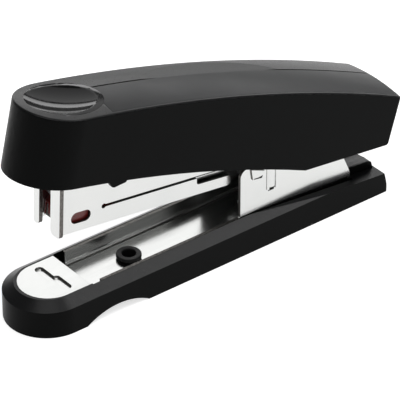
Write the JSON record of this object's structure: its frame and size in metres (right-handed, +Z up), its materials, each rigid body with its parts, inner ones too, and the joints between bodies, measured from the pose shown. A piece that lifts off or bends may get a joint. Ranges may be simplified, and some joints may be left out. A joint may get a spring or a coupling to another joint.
{
  "type": "stapler",
  "caption": "Mini desk stapler with a black plastic cap and base, a plated steel magazine hinged above an anvil, a sprung red pusher and a thumb dish.",
  "frame": {"origin": "centre of the footprint, on the table", "axes": "+Z up, staple end towards -X, hinge end towards +X, Y across"},
  "size_m": [0.1095, 0.021, 0.0584],
  "materials": {
    "shell_plastic": "satin black moulding",
    "panel_plastic": "satin slate black inlay",
    "gloss_plastic": "glossy black",
    "plated_steel": "bright nickel plate",
    "spring_steel": "plain spring steel",
    "pusher_plastic": "translucent dark red",
    "black_rubber": "soft black rubber"
  },
  "bodies": {
    "base": {"base_shell": "shell_plastic", "base_channel": "plated_steel", "anvil_plate": "plated_steel", "floor_bumper": "black_rubber", "base_pads": "black_rubber", "hinge_pin": "plated_steel", "lift_spring": "spring_steel"},
    "magazine": {"magazine_channel": "plated_steel", "staple_rail": "plated_steel", "spring_bracket": "plated_steel", "pusher_rod": "spring_steel", "pusher_spring": "spring_steel", "hinge_sleeve": "plated_steel"},
    "pusher": {"staple_pusher": "pusher_plastic"},
    "cap": {"cap_shell": "shell_plastic", "top_panel": "panel_plastic", "thumb_dish": "gloss_plastic", "striker_arm": "plated_steel", "driver_blade": "spring_steel", "blade_rivets": "plated_steel", "cap_spring": "spring_steel"}
  },
  "joints": [
    {"name": "magazine_hinge", "type": "hinge", "parent": "base", "child": "magazine", "pos_m": [0.03165, 0, 0.02], "axis": [0, 1, 0], "range_deg": [-10.2, 0], "stiffness_Nm_per_rad": 0.5, "springref_deg": 17.19, "deforming": ["lift_spring"]},
    {"name": "cap_hinge", "type": "hinge", "parent": "magazine", "child": "cap", "pos_m": [0.03165, 0, 0.02], "axis": [0, 1, 0], "range_deg": [-5, 16.5], "stiffness_Nm_per_rad": 2, "springref_deg": 0.11, "deforming": ["cap_spring"]},
    {"name": "pusher_slide", "type": "slide", "parent": "magazine", "child": "pusher", "axis": [0.9925, 0, -0.1219], "range_m": [0, 0.03], "stiffness_N_per_m": 15, "springref_m": -0.05, "deforming": ["pusher_spring"]}
  ]
}
